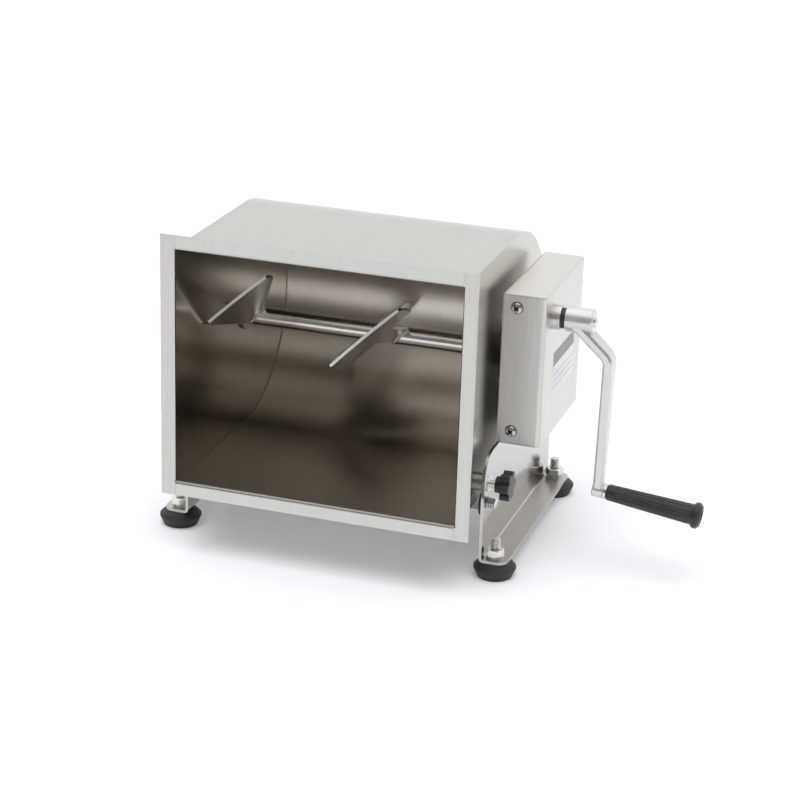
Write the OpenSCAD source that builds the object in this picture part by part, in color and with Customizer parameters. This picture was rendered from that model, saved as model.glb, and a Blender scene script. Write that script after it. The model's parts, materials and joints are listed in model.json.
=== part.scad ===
// Hand-cranked meat mixer with a tipping tub of about 20 litres.
// X points to the crank side, Y away from the operator, Z up, in millimetres.
// The tub is drawn tipped forward, with its mouth facing the operator, and
// the lock is drawn pulled out. The origin is on the floor, under the middle
// of the whole machine.

/* [Tub] */
// Length of the tub over its end plates
tub_len = 302; // [260:2:360]
// Inside radius of the tub's round bottom
tub_r = 123.5; // [115:0.5:127]
// Distance from the shaft to the face of the rim
tub_mouth = 187; // [180:1:210]
// Thickness of the tub's sheet
tub_t = 1.5; // [1:0.1:2.5]
// Width of the rim round the mouth
rim_w = 14; // [10:0.5:20]
// Inside radius of the bend at the rim
rim_bend = 2; // [1:0.5:4]

/* [Stands] */
// Height of the mixing shaft above the floor
axis_h = 202; // [195:1:240]
// Gap between a tub end plate and its stand
stand_gap = 9.5; // [9:0.5:14]
// Thickness of the stand's sheet
stand_t = 3; // [2:0.5:5]
// Width of a stand, front to back
stand_w = 260; // [250:2:300]
// Height of the shaft above the stand's shoulders
shoulder_drop = 71; // [71:1:85]
// Radius of the lower part's shoulders
shoulder_r = 28; // [10:1:34]
// How far a foot flange reaches out from its stand
flange_w = 25.8; // [24:0.2:34]
// Inside radius of the bend above the foot flange
flange_bend = 2; // [1:0.5:3]
// Radius of the foot flange's outer corners
flange_round = 11; // [4:1:16]
// Radius of the left stand's round head
head_r = 48; // [38:1:60]
// Height of the cross tie
tie_h = 14; // [8:1:18]
// Depth of the cross tie
tie_d = 20; // [12:1:40]
// Wall of the cross tie's tube
tie_t = 1.5; // [1:0.1:3]

/* [Feet] */
// Greatest diameter of a rubber foot
foot_d = 44; // [34:1:48]
// Height of a rubber foot
foot_h = 16.8; // [14:0.2:24]
// Diameter of a foot's stud
stud_d = 10; // [6:1:12]
// How far a stud stands above its flange
stud_rise = 21; // [14:1:26]
// Distance of a foot from the stand's front or back edge
foot_inset = 13; // [11:1:20]
// Thickness of a foot's washer
washer_t = 2; // [1:0.5:3]
// Height of a foot's nut
nut_h = 8; // [5:0.5:10]
// Distance across the flats of a foot's nut
nut_af = 17; // [15:1:19]

/* [Drive] */
// Diameter of the mixing shaft
shaft_d = 20; // [16:1:22]
// Outside diameter of the tub's trunnions
trunnion_d = 34; // [30:1:38]
// Size of the gear teeth: pitch diameter for each tooth
tooth_size = 2; // [1.8:0.05:2]
// Teeth of the large gear
gear_z = 64; // [60:1:66]
// Teeth of the pinion
pinion_z = 20; // [18:1:20]
// Width of the large gear's teeth
gear_w = 12; // [8:1:14]
// Play between two teeth along the pitch circle
backlash = 0.3; // [0.2:0.05:0.5]
// Direction of the crank from the shaft, up from the front
crank_angle = 48; // [40:1:55]
// Diameter of the crank's shaft
crank_d = 16; // [12:1:18]
// Room between the gear's teeth and the cover
cover_gap = 2.5; // [1.5:0.5:6]
// Distance from the crank's axis to the cover's front and top
crank_margin = 27.3; // [26.5:0.1:32]
// Depth of the gear cover
cover_d = 42.1; // [41:0.1:50]
// Thickness of the cover's sheet
cover_t = 1.5; // [1:0.1:2.5]
// Outside radius of the cover's folded edges
cover_r = 4; // [3:0.5:6]
// Distance of a cover screw from the top or bottom of the cover
screw_inset = 14; // [12:1:20]
// Diameter of a cover screw's head
screw_head_d = 12; // [8:1:14]
// Diameter of a cover screw
screw_d = 5; // [4:0.5:6]

/* [Paddles] */
// Gap between the paddles' outer edges and the tub's round bottom
paddle_gap = 7.5; // [4:0.5:20]
// Length of an inner paddle's outer edge
paddle_tip_w = 98; // [70:1:110]
// Depth of an inner paddle's outer bar
paddle_bar = 36; // [25:1:50]
// Length of an end paddle's outer edge
paddle_end_w = 81; // [60:1:90]
// Width of a paddle at the shaft
paddle_root_w = 24; // [20:1:30]
// Thickness of a paddle
paddle_t = 3; // [2:0.5:5]
// Angle between a paddle and the shaft
paddle_pitch = 45; // [35:1:55]
// Angle of the front paddles above level
paddle_turn = 18.5; // [0:0.5:40]
// Distance of an end paddle's middle from the tub's end plate
paddle_inset = 16; // [14:1:30]
// Distance of an inner paddle from the middle of the tub
paddle_inner = 29; // [22:1:50]
// Gap between an end paddle and the tub's end plate
paddle_side = 2; // [1:0.5:5]

/* [Crank] */
// Distance from the crank's axis to the grip
crank_throw = 179; // [150:1:186]
// Diameter of the crank's hub
hub_d = 26; // [24:1:32]
// Length of the crank's hub
hub_len = 28.6; // [26:0.1:34]
// How far the arm steps outward below the hub
arm_step = 25; // [22:1:34]
// Width of the arm at its hub
arm_w = 25; // [18:1:25]
// Width of the arm at the grip
arm_end_w = 14; // [12:1:18]
// Thickness of the arm
arm_t = 10; // [6:0.5:11]
// Radius of the arm's bend, at the middle of the bar
arm_bend = 14; // [10:1:20]
// Lean of the arm's straight part toward the machine
arm_lean = 1.2; // [0:0.1:3]
// Slope of the grip below level
grip_slope = 6.5; // [0:0.5:8]
// Length of the grip
grip_len = 99; // [80:1:120]
// Diameter of the grip next to the arm
grip_d1 = 17; // [15:0.5:20]
// Diameter of the grip before its end ring
grip_d2 = 21.5; // [19:0.5:25]
// Diameter of the grip's end ring
grip_ring_d = 27; // [25:0.5:32]
// Number of flutes round the grip
grip_flutes = 12; // [8:1:16]
// Diameter of the grip's pin
grip_pin_d = 8; // [6:0.5:9]

/* [Lock] */
// Distance of the lock from the stand's front edge
lock_inset = 11; // [10:0.5:14]
// Distance of the lock below the shaft
lock_below = 101; // [98:0.5:102]
// Diameter of the lock's plunger
plunger_d = 8; // [6:0.5:9]
// Travel of the plunger
plunger_travel = 6; // [5:0.5:6]
// Diameter of an index boss on the tub
boss_d = 18; // [15:0.5:18]
// Diameter of the star knob
knob_d = 31; // [28:1:34]
// Number of lobes round the knob
knob_lobes = 6; // [5:1:7]
// Thickness of the knob's lobes
knob_lobe_t = 10; // [8:1:12]
// Diameter of the stop bolt
stop_d = 12; // [10:1:14]
// How far the stop bolt stands out of its stand
stop_out = 9; // [6:0.5:16]

/* [Fits] */
// Running clearance on the radius of a shaft
run_gap = 0.05; // [0.03:0.01:0.08]
// Clearance between pieces that pass each other
pass_gap = 0.4; // [0.3:0.05:0.6]
// Clearance on the radius of an index hole round the plunger
index_gap = 0.8; // [0.4:0.1:1.2]

/* [Hidden] */
$fn = 64;
eps = 0.01;

// Places along X
end_in = tub_len / 2 - tub_t;
end_out = tub_len / 2;
plate_in = end_out + stand_gap;
plate_out = plate_in + stand_t;
flange_end = plate_out + flange_w;
cover_out = plate_out + cover_d;
cover_in = cover_out - cover_t;
cover_back = plate_in + stand_t / 2;

// Tub outline
wall_r = tub_r + tub_t;
rim_half = wall_r + rim_w;

// Foot places
foot_x = plate_out + flange_w - 14.7;
foot_y = stand_w / 2 - foot_inset;
flange_z = foot_h;
shoulder_h = axis_h - shoulder_drop;
flange_top = flange_z + stand_t;

// Pivots
shaft_r = shaft_d / 2;
trunnion_r = trunnion_d / 2;
bush_wall = 0.15 * trunnion_d;
bush_flange_r = 0.95 * trunnion_d;
bush_flange_t = 0.15 * trunnion_d;
trunnion_flange_r = 0.88 * trunnion_d;
trunnion_flange_t = 3;
trunnion_end = plate_out + bush_flange_t + 2.5;
seal_t = 3;
seal_r = shaft_r + 6;

// Gears
gear_pitch_r = tooth_size * gear_z / 2;
pinion_pitch_r = tooth_size * pinion_z / 2;
gear_tip_r = gear_pitch_r + tooth_size;
centre_dist = gear_pitch_r + pinion_pitch_r;
crank_y = -centre_dist * cos(crank_angle);
crank_dz = centre_dist * sin(crank_angle);
crank_z = axis_h + crank_dz;
hub_wall = 0.4 * shaft_d;
gear_hub_x = trunnion_end + 1;
gear_x = gear_hub_x + 0.375 * shaft_d;
gear_hub_end = gear_x + gear_w + 0.15 * shaft_d;
shaft_end = gear_hub_end;
key_w = 0.3 * shaft_d;
key_h = 0.3 * shaft_d;
gear_screw_head = 4;
gear_washer_t = 2.5;
left_end = -(trunnion_end + 1);
end_screw_d = 8;
end_screw_depth = 16;
end_screw_af = 13;
end_washer_r = trunnion_r - 1;

// Gear cover
cover_front = -crank_y + crank_margin;
cover_top = crank_dz + crank_margin;
cover_low = gear_tip_r + cover_gap + cover_t;
cover_rear = cover_low;
screw_x = plate_out + 12;
tab_t = 2;
tab_w = 20;
tab_reach = 18.5;
screw_head_h = 4;
screw_len = cover_t + tab_t + 1.5;
crank_bush_r = crank_d / 2 + 4.5;
crank_boss = 10.2;

// Crank
crank_r = crank_d / 2;
spacer_x = cover_out + crank_boss + pass_gap;
hub_x = cover_out + crank_boss + 4.6;
hub_end = hub_x + hub_len;
crank_in = plate_out + 1;
crank_head_r = 5.5;
crank_head_h = 3.2;
arm_top_x = hub_end - 7;
arm_top_z = -hub_d / 2;
arm_bend_x = arm_top_x + arm_step;
arm_bend_z = arm_top_z - 0.92 * arm_step;
arm_end_x = arm_bend_x - (crank_throw + arm_bend_z) * tan(arm_lean);
grip_boss_len = 12;
collar_t = 3;
grip_start = grip_boss_len / 2 + collar_t + pass_gap;
grip_end = grip_start + grip_len;
grip_ring_t = 9;
grip_recess = 6;
pin_head_t = 3;
pin_head_r = grip_pin_d / 2 + 2.5;

// Lock: the radius at which it holds the tub, and places along X
lock_front = stand_w / 2 - lock_inset;
lock_y = -lock_front;
lock_z = axis_h - lock_below;
boss_end = plate_in - 1;
pin_tip = boss_end + pass_gap;
lug_t = boss_d / 3;
lug_root = trunnion_flange_r + 1.1 * boss_d;
plunger_r = plunger_d / 2;
sleeve_r = plunger_r + 2;
plunger_nut_h = 2.5;
plunger_nut_af = 16;
bush_end = plate_out + plunger_nut_h + 0.5;
knob_x = bush_end + plunger_travel + pass_gap;
knob_neck = 6;
knob_bore = 10;
stop_r = stop_d / 2;
stop_y = lock_y + 4;
stop_sleeve_x = end_out + lug_t + 0.5;
stop_sleeve_r = boss_d / 2 + 5;
stop_drop = sqrt(pow(boss_d / 2 + stop_sleeve_r + pass_gap, 2) - pow(stop_y - lock_y, 2));
stop_z = lock_z - stop_drop;
tie_z = flange_top + 1.5;

// Paddles: the radius that their outer edges follow, and how far they reach to either side
paddle_sweep = tub_r - paddle_gap;
paddle_outer = end_in - paddle_inset;
end_reach = (paddle_inset - paddle_side - paddle_t / 2 * sin(paddle_pitch)) / cos(paddle_pitch);
paddle_shift = 8;

// Whole machine, for the origin
grip_reach = grip_end * cos(grip_slope) + grip_ring_d / 2 * sin(grip_slope);
right_most = arm_end_x + grip_reach;
left_most = -max(foot_x + foot_d / 2, flange_end);
front_most = -tub_mouth;
rear_most = max(foot_y + foot_d / 2, stand_w / 2);
mid_x = (right_most + left_most) / 2;
mid_y = (rear_most + front_most) / 2;

// Puts what follows into the shared frame
module placed() {
    translate([-mid_x, -mid_y, 0]) children();
}

// A round bar along X
module bar_x(x0, x1, r, y = 0, z = 0) {
    translate([x0, y, z]) rotate([0, 90, 0]) cylinder(h = x1 - x0, r = r);
}

// A hexagon along X, by the distance across its flats
module hex_x(x0, x1, af, y = 0, z = 0) {
    translate([x0, y, z]) rotate([0, 90, 0]) cylinder(h = x1 - x0, d = af / cos(30), $fn = 6);
}

// A flat outline drawn in Y and Z, thickened from x0 to x1
module sheet_x(x0, x1) {
    translate([x0, 0, 0]) rotate([90, 0, 90]) linear_extrude(x1 - x0) children();
}

// A flat outline drawn in X and Z, thickened from y0 to y1
module sheet_y(y0, y1) {
    translate([0, y1, 0]) rotate([90, 0, 0]) linear_extrude(y1 - y0) children();
}

// A quarter of a ring, from the angle a on, as at a bend
module quarter_ring(r_in, r_out, a) {
    intersection() {
        difference() {
            circle(r_out);
            circle(r_in);
        }
        rotate(a) square(2 * r_out);
    }
}

// Shaft axis of the mixer
module on_axis() {
    translate([0, 0, axis_h]) children();
}

module on_crank() {
    translate([0, crank_y, crank_z]) children();
}

// Grip axis, with X along the grip from the end of the arm
module on_grip() {
    on_crank() translate([arm_end_x, 0, -crank_throw]) rotate([0, grip_slope, 0]) children();
}

// Places of the four feet
module at_feet() {
    for (x = [-foot_x, foot_x], y = [-foot_y, foot_y]) translate([x, y, 0]) children();
}

// Stand outline below the shoulders, in Y and Z
module stand_base() {
    translate([-stand_w / 2, flange_z + stand_t + flange_bend])
        square([stand_w, shoulder_h - shoulder_r - flange_z - stand_t - flange_bend]);
    translate([-stand_w / 2 + shoulder_r, shoulder_h - shoulder_r - eps])
        square([stand_w - 2 * shoulder_r, shoulder_r + eps]);
    for (s = [-1, 1])
        translate([s * (stand_w / 2 - shoulder_r), shoulder_h - shoulder_r]) circle(shoulder_r);
}

// Foot flange and its bend, in X and Z, on the right side
module stand_foot_profile() {
    translate([plate_out + flange_bend, flange_z]) square([flange_w - flange_bend, stand_t]);
    translate([plate_out + flange_bend, flange_top + flange_bend])
        quarter_ring(flange_bend, flange_bend + stand_t, 180);
}

module stand_foot() {
    difference() {
        sheet_y(-stand_w / 2, stand_w / 2) stand_foot_profile();
        for (y = [-foot_y, foot_y])
            translate([foot_x, y, 0]) cylinder(h = flange_top + 1, d = stud_d + 2 * pass_gap);
        for (s = [0, 1]) mirror([0, s, 0])
            translate([flange_end, stand_w / 2, flange_z - 1])
                linear_extrude(stand_t + 2) corner_cut(flange_round);
    }
}

// What is cut off at a corner to round it
module corner_cut(r, steps = 6) {
    polygon(concat([[1, 1], [1, -r]],
        [for (k = [0 : steps]) r * [cos(90 * k / steps) - 1, sin(90 * k / steps) - 1]], [[-r, 1]]));
}

// Right stand: foot, broad base and the gear cover's back plate with four tabs
module right_stand() {
    color("gainsboro") placed() {
        stand_foot();
        difference() {
            sheet_x(plate_in, plate_out) difference() {
                union() {
                    stand_base();
                    translate([-cover_front + cover_t + 0.2, shoulder_h - shoulder_r])
                        square([cover_front + cover_rear - 2 * cover_t - 0.4,
                            axis_h + cover_top - cover_t - 0.2 - shoulder_h + shoulder_r]);
                }
                translate([0, axis_h]) circle(trunnion_r + bush_wall);
                translate([lock_y, lock_z]) circle(sleeve_r);
                translate([stop_y, stop_z]) circle(stop_r);
            }
        }
        cover_tabs();
    }
}

module cover_tabs() {
    difference() {
        for (z = [axis_h - cover_low + screw_inset, axis_h + cover_top - screw_inset],
             y = [-cover_front + cover_t, cover_rear - cover_t - tab_t])
            translate([plate_out, y, z - tab_w / 2]) cube([tab_reach, tab_t, tab_w]);
        cover_screw_places() cylinder(h = 8 * tab_t, d = screw_d, center = true);
    }
}

// Places of the cover screws, with Z pointing out of the cover's face
module cover_screw_places() {
    for (z = [axis_h - cover_low + screw_inset, axis_h + cover_top - screw_inset]) {
        translate([screw_x, -cover_front, z]) rotate([90, 0, 0]) children();
        translate([screw_x, cover_rear, z]) rotate([-90, 0, 0]) children();
    }
}

// Left stand: the same foot and base under a round head
module left_stand() {
    color("gainsboro") placed() mirror([1, 0, 0]) {
        stand_foot();
        sheet_x(plate_in, plate_out) difference() {
            union() {
                stand_base();
                translate([-head_r, shoulder_h - shoulder_r])
                    square([2 * head_r, axis_h - shoulder_h + shoulder_r]);
                translate([0, axis_h]) circle(head_r);
            }
            translate([0, axis_h]) circle(trunnion_r + bush_wall);
        }
    }
}

module cross_tie() {
    color("silver") placed() sheet_x(-plate_in, plate_in) translate([0, tie_z + tie_h / 2]) difference() {
        square([tie_d, tie_h], center = true);
        square([tie_d - 2 * tie_t, tie_h - 2 * tie_t], center = true);
    }
}

// Rubber foot: a turned shape, widest low down, with a domed top
module rubber_foot(x, y) {
    foot_r = foot_d / 2;
    color("dimgray") placed() translate([x, y, 0]) rotate_extrude() difference() {
        union() {
            polygon([[0, 0], [foot_r - 4, 0], [foot_r, 9], [foot_r, 11], [foot_r - 3, 14],
                [foot_r - 9, foot_h], [0, foot_h]]);
        }
        translate([0, foot_h - 11]) square([stud_d / 2, 20]);
    }
}

module foot_front_left() {
    rubber_foot(-foot_x, -foot_y);
}

module foot_front_right() {
    rubber_foot(foot_x, -foot_y);
}

module foot_rear_left() {
    rubber_foot(-foot_x, foot_y);
}

module foot_rear_right() {
    rubber_foot(foot_x, foot_y);
}

module foot_studs() {
    color("silver") placed() at_feet() translate([0, 0, foot_h - 11]) {
        cylinder(h = 11 + stand_t + stud_rise - 1, d = stud_d);
        translate([0, 0, 11 + stand_t + stud_rise - 1]) cylinder(h = 1, d1 = stud_d, d2 = stud_d - 2);
    }
}

module foot_washers() {
    color("silver") placed() at_feet() translate([0, 0, flange_top]) difference() {
        cylinder(h = washer_t, d = nut_af + 1);
        translate([0, 0, -1]) cylinder(h = washer_t + 2, d = stud_d);
    }
}

module foot_nuts() {
    color("silver") placed() at_feet() translate([0, 0, flange_top + washer_t]) difference() {
        intersection() {
            cylinder(h = nut_h, d = nut_af / cos(30), $fn = 6);
            translate([0, 0, -nut_h]) cylinder(h = 3 * nut_h, d1 = nut_af * 1.7, d2 = nut_af * 0.9);
        }
        translate([0, 0, -1]) cylinder(h = nut_h + 2, d = stud_d);
    }
}

// Flanged bush in a stand, in which a trunnion turns
module pivot_bush() {
    difference() {
        union() {
            bar_x(plate_in, plate_out + bush_flange_t, trunnion_r + bush_wall);
            bar_x(plate_out, plate_out + bush_flange_t, bush_flange_r);
        }
        bar_x(plate_in - 1, plate_out + bush_flange_t + 1, trunnion_r + run_gap);
    }
}

module left_pivot_bush() {
    color("tan") placed() on_axis() mirror([1, 0, 0]) pivot_bush();
}

module right_pivot_bush() {
    color("tan") placed() on_axis() pivot_bush();
}

// Cover outline from above, with its two folded edges rounded
module cover_plan(inset, r) {
    y0 = -cover_front + inset;
    y1 = cover_rear - inset;
    x1 = cover_out - inset;
    translate([cover_back, y0]) square([x1 - r - cover_back, y1 - y0]);
    translate([cover_back, y0 + r]) square([x1 - cover_back, y1 - y0 - 2 * r]);
    translate([x1 - r, y0 + r]) circle(r);
    translate([x1 - r, y1 - r]) circle(r);
}

module gearbox_cover() {
    z0 = axis_h - cover_low;
    z1 = axis_h + cover_top;
    color("whitesmoke") placed() difference() {
        translate([0, 0, z0]) linear_extrude(z1 - z0) cover_plan(0, cover_r);
        translate([0, 0, z0 + cover_t]) linear_extrude(z1 - z0 - 2 * cover_t) union() {
            cover_plan(cover_t, cover_r - cover_t);
            translate([cover_back - 1, -cover_front + cover_t])
                square([2, cover_front + cover_rear - 2 * cover_t]);
        }
        translate([cover_back - 1, -cover_front + cover_t, z0 - 1])
            cube([plate_out - cover_back + 1, cover_front + cover_rear - 2 * cover_t, cover_t + 2]);
        on_crank() bar_x(cover_in - 1, cover_out + 1, crank_bush_r);
        cover_screw_places() cylinder(h = 8, d = screw_d + 2 * pass_gap, center = true);
    }
}

// Pan-head screws, with a cross recess in each head
module cover_screws() {
    color("silver") placed() cover_screw_places() difference() {
        union() {
            cylinder(h = screw_head_h, d1 = screw_head_d, d2 = screw_head_d - 3);
            translate([0, 0, -screw_len]) cylinder(h = screw_len + eps, d = screw_d);
        }
        for (a = [0, 90])
            rotate(a) translate([0, 0, screw_head_h]) cube([6, 1.4, 3.6], center = true);
    }
}

// Bush in the cover, in which the crank's shaft turns
module crank_bush() {
    color("lightgray") placed() on_crank() difference() {
        union() {
            bar_x(cover_in - 6, cover_out + crank_boss, crank_bush_r);
            bar_x(cover_in - 6, cover_in, crank_bush_r + 5);
        }
        bar_x(cover_in - 10, cover_out + crank_boss + 1, crank_r + run_gap);
    }
}

module crank_inner_bush() {
    color("tan") placed() on_crank() difference() {
        union() {
            bar_x(plate_out, plate_out + 12, crank_r + 4);
            bar_x(plate_out, plate_out + 4, crank_r + 8);
        }
        bar_x(plate_out - 1, plate_out + 13, crank_r + run_gap);
    }
}

// Threaded sleeve through the stand, in which the plunger slides
module plunger_bush() {
    color("silver") placed() translate([0, lock_y, lock_z]) difference() {
        bar_x(plate_in, bush_end, sleeve_r);
        bar_x(plate_in - 1, bush_end + 1, plunger_r + run_gap);
    }
}

module plunger_nut() {
    color("silver") placed() translate([0, lock_y, lock_z]) difference() {
        hex_x(plate_out, plate_out + plunger_nut_h, plunger_nut_af);
        bar_x(plate_out - 1, plate_out + plunger_nut_h + 1, sleeve_r);
    }
}

// Threaded stop bolt, with the sleeve that the tub's index boss comes to rest on
module stop_bolt() {
    color("silver") placed() translate([0, stop_y, stop_z])
        bar_x(stop_sleeve_x, plate_out + stop_out, stop_r);
}

module stop_sleeve() {
    color("dimgray") placed() translate([0, stop_y, stop_z]) difference() {
        bar_x(stop_sleeve_x, plate_in, stop_sleeve_r);
        bar_x(stop_sleeve_x - 1, plate_in + 1, stop_r);
    }
}

// Tub section in Y and Z about the shaft: flat sides and a round bottom
module tub_section(r, front) {
    circle(r);
    translate([-front, -r]) square([front, 2 * r]);
}

module tub_wrapper() {
    bend_y = tub_mouth - tub_t - rim_bend;
    color("lightsteelblue") placed() on_axis() sheet_x(-end_in, end_in) {
        difference() {
            tub_section(wall_r, bend_y);
            tub_section(tub_r, bend_y + 1);
        }
        for (s = [0, 1]) mirror([0, s]) {
            translate([-bend_y, wall_r + rim_bend])
                quarter_ring(rim_bend, rim_bend + tub_t, 180);
            translate([-tub_mouth, wall_r + rim_bend]) square([tub_t, rim_w - rim_bend]);
        }
    }
}

// End plate on the right, with its part of the rim
module tub_end() {
    bend_y = tub_mouth - tub_t - rim_bend;
    sheet_x(end_in, end_out) difference() {
        tub_section(wall_r, bend_y);
        circle(trunnion_r);
    }
    translate([0, 0, -wall_r]) linear_extrude(2 * wall_r)
        translate([end_out + rim_bend, -bend_y]) quarter_ring(rim_bend, rim_bend + tub_t, 180);
    sheet_y(-tub_mouth, -tub_mouth + tub_t) difference() {
        translate([end_in, -rim_half]) square([rim_w + tub_t, 2 * rim_half]);
        translate([end_in - 1, -wall_r]) square([tub_t + rim_bend + 1, 2 * wall_r]);
    }
}

module tub_left_end() {
    color("lightsteelblue") placed() on_axis() mirror([1, 0, 0]) tub_end();
}

module tub_right_end() {
    color("lightsteelblue") placed() on_axis() tub_end();
}

// Hollow trunnion, welded to an end plate, on which the tub tips
module trunnion() {
    difference() {
        union() {
            bar_x(end_in, trunnion_end, trunnion_r);
            bar_x(end_out, end_out + trunnion_flange_t, trunnion_flange_r);
        }
        bar_x(end_in - 1, trunnion_end + 1, shaft_r + run_gap);
    }
}

module left_trunnion() {
    color("silver") placed() on_axis() mirror([1, 0, 0]) trunnion();
}

module right_trunnion() {
    color("silver") placed() on_axis() trunnion();
}

module shaft_seals() {
    color("dimgray") placed() on_axis() for (s = [0, 1]) mirror([s, 0, 0]) difference() {
        bar_x(end_in - seal_t, end_in, seal_r);
        bar_x(end_in - seal_t - 1, end_in + 1, shaft_r + run_gap);
    }
}

// Boss on the end plate that the plunger enters while the tub is tipped
module index_boss() {
    color("silver") placed() translate([0, lock_y, lock_z]) difference() {
        bar_x(end_out, boss_end, boss_d / 2);
        bar_x(end_out - 1, boss_end + 1, plunger_r + index_gap);
    }
}

// Lug a quarter turn behind the boss, for the plunger while the tub is upright
module index_lug() {
    lock_r = norm([lock_front, lock_below]);
    color("silver") placed() on_axis() rotate([90 + atan2(-lock_below, -lock_front), 0, 0])
        difference() {
            union() {
                translate([end_out, lug_root, -boss_d / 2])
                    cube([lug_t, lock_r - lug_root, boss_d]);
                bar_x(end_out, end_out + lug_t, boss_d / 2, lock_r);
            }
            bar_x(end_out - 1, end_out + lug_t + 1, plunger_r + index_gap, lock_r);
        }
}

// Mixing shaft, with a keyway for the gear and tapped ends
module mixing_shaft() {
    color("silver") placed() on_axis() difference() {
        bar_x(left_end, shaft_end, shaft_r);
        key_block();
        bar_x(shaft_end - end_screw_depth, shaft_end + 1, end_screw_d / 2);
        bar_x(left_end - 1, left_end + end_screw_depth, end_screw_d / 2);
    }
}

module key_block() {
    translate([gear_x, -key_w / 2, shaft_r - key_h / 2]) cube([gear_hub_end - gear_x, key_w, key_h]);
}

// Distance of a paddle's outer edge from the shaft, at w along the edge
function edge_r(w) = sqrt(pow(paddle_sweep, 2) - pow(w * sin(paddle_pitch), 2));

// One side of a paddle from the shaft to its outer corner at w: stepped where it has a bar
function paddle_flank(w, bar) =
    let (s = sign(w), half = paddle_root_w / 2, inner = edge_r(w) - bar)
    bar > 0
        ? [[s * half, inner - 5], [s * (half + 5), inner], [w, inner], [w, edge_r(w) - 3]]
        : [[s * half, shaft_r + 6], [w, edge_r(w) - 14], [w, edge_r(w) - 3]];

// Paddle at x along the shaft, at an angle a up from the front: a flat blade across the shaft, whose
// outer edge runs from w = lo to w = hi
module paddle(x, a, pitch, lo, hi, bar = 0, steps = 10) {
    root = [paddle_root_w / 2, shaft_r - 4];
    low = paddle_flank(lo, bar);
    outline = concat([root], paddle_flank(hi, bar),
        [for (k = [0 : steps]) let (w = hi - 3 + (lo - hi + 6) * k / steps) [w, edge_r(w)]],
        [for (k = [len(low) - 1 : -1 : 0]) low[k]], [[-root[0], root[1]]]);
    color("slategray") placed() on_axis() translate([x, 0, 0])
        difference() {
            rotate([-a, 0, 0]) rotate([0, -pitch, 0]) translate([0, 0, -paddle_t / 2])
                linear_extrude(paddle_t) polygon([for (p = outline) [p[0], -p[1]]]);
            bar_x(-paddle_tip_w, paddle_tip_w, shaft_r);
        }
}

module paddle_1() {
    paddle(-paddle_outer, paddle_turn, paddle_pitch, -end_reach, paddle_end_w - end_reach);
}

module paddle_2() {
    paddle(-paddle_inner, paddle_turn + 180, -paddle_pitch, -paddle_tip_w / 2, paddle_tip_w / 2,
        paddle_bar);
}

module paddle_3() {
    paddle(paddle_inner, paddle_turn, paddle_pitch, -paddle_tip_w / 2 - paddle_shift,
        paddle_tip_w / 2 - paddle_shift, paddle_bar);
}

module paddle_4() {
    paddle(paddle_outer, paddle_turn + 180, -paddle_pitch, end_reach - paddle_end_w, end_reach);
}

// Involute tooth: the angle gained from the base circle out to radius r, in degrees
function involute(base, r) = r <= base ? 0 :
    tan(acos(base / r)) * 180 / PI - acos(base / r);

// One side of a tooth, from the root to the tip, as radius and half angle
function flank(z, m, steps) =
    let (pitch = m * z / 2, base = pitch * cos(20), root = pitch - 1.25 * m, tip = pitch + m,
        half = 90 / z - backlash / 4 / pitch * 180 / PI + involute(base, pitch),
        first = max(base, root))
    [if (root < base) [root, half], for (k = [0 : steps])
        let (r = first + (tip - first) * k / steps) [r, half - involute(base, r)]];

// Whole outline of a gear, with a tooth centred on its X axis
module gear_outline(z, m, steps = 3) {
    side = flank(z, m, steps);
    last = len(side) - 1;
    polygon([for (t = [0 : z - 1]) let (mid = 360 * t / z) each concat(
        [for (k = [0 : last]) side[k][0] * [cos(mid - side[k][1]), sin(mid - side[k][1])]],
        [for (k = [last : -1 : 0]) side[k][0] * [cos(mid + side[k][1]), sin(mid + side[k][1])]])]);
}

// Turns a gear so that its X axis lies along the line to the other gear
mesh_angle = 180 - crank_angle;

module drive_gear() {
    web_r = gear_pitch_r - 4.5 * tooth_size;
    hub_r = shaft_r + hub_wall;
    hole_r = (web_r - hub_r) / 2 - 1.5 * tooth_size;
    color("goldenrod") placed() on_axis() difference() {
        union() {
            sheet_x(gear_x, gear_x + gear_w) rotate(mesh_angle) gear_outline(gear_z, tooth_size);
            bar_x(gear_hub_x, gear_hub_end, hub_r);
        }
        difference() {
            bar_x(gear_x + 0.75 * gear_w, gear_x + gear_w + 1, web_r);
            bar_x(gear_x, gear_x + gear_w + 2, hub_r);
        }
        for (a = [30 : 60 : 330])
            rotate([a, 0, 0]) bar_x(gear_x - 1, gear_x + gear_w + 1, hole_r, (web_r + hub_r) / 2);
        bar_x(gear_hub_x - 1, gear_hub_end + 1, shaft_r);
        key_block();
    }
}

module gear_key() {
    color("dimgray") placed() on_axis() key_block();
}

module gear_washer() {
    color("silver") placed() on_axis() difference() {
        bar_x(shaft_end, shaft_end + gear_washer_t, shaft_r + 6);
        bar_x(shaft_end - 1, shaft_end + gear_washer_t + 1, end_screw_d / 2);
    }
}

module gear_screw() {
    x = shaft_end + gear_washer_t;
    color("dimgray") placed() on_axis() {
        bar_x(shaft_end - end_screw_depth + 2, x, end_screw_d / 2);
        hex_x(x, x + gear_screw_head, end_screw_af);
    }
}

module left_washer() {
    color("silver") placed() on_axis() difference() {
        bar_x(left_end - gear_washer_t, left_end, end_washer_r);
        bar_x(left_end - gear_washer_t - 1, left_end + 1, end_screw_d / 2);
    }
}

module left_screw() {
    x = left_end - gear_washer_t;
    color("silver") placed() on_axis() {
        bar_x(x, left_end + end_screw_depth - 2, end_screw_d / 2);
        hex_x(x - gear_screw_head - 1, x, end_screw_af);
    }
}

module crank_shaft() {
    color("silver") placed() on_crank() difference() {
        bar_x(crank_in, hub_end, crank_r);
        bar_x(hub_end - 14, hub_end + 1, 3);
    }
}

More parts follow.
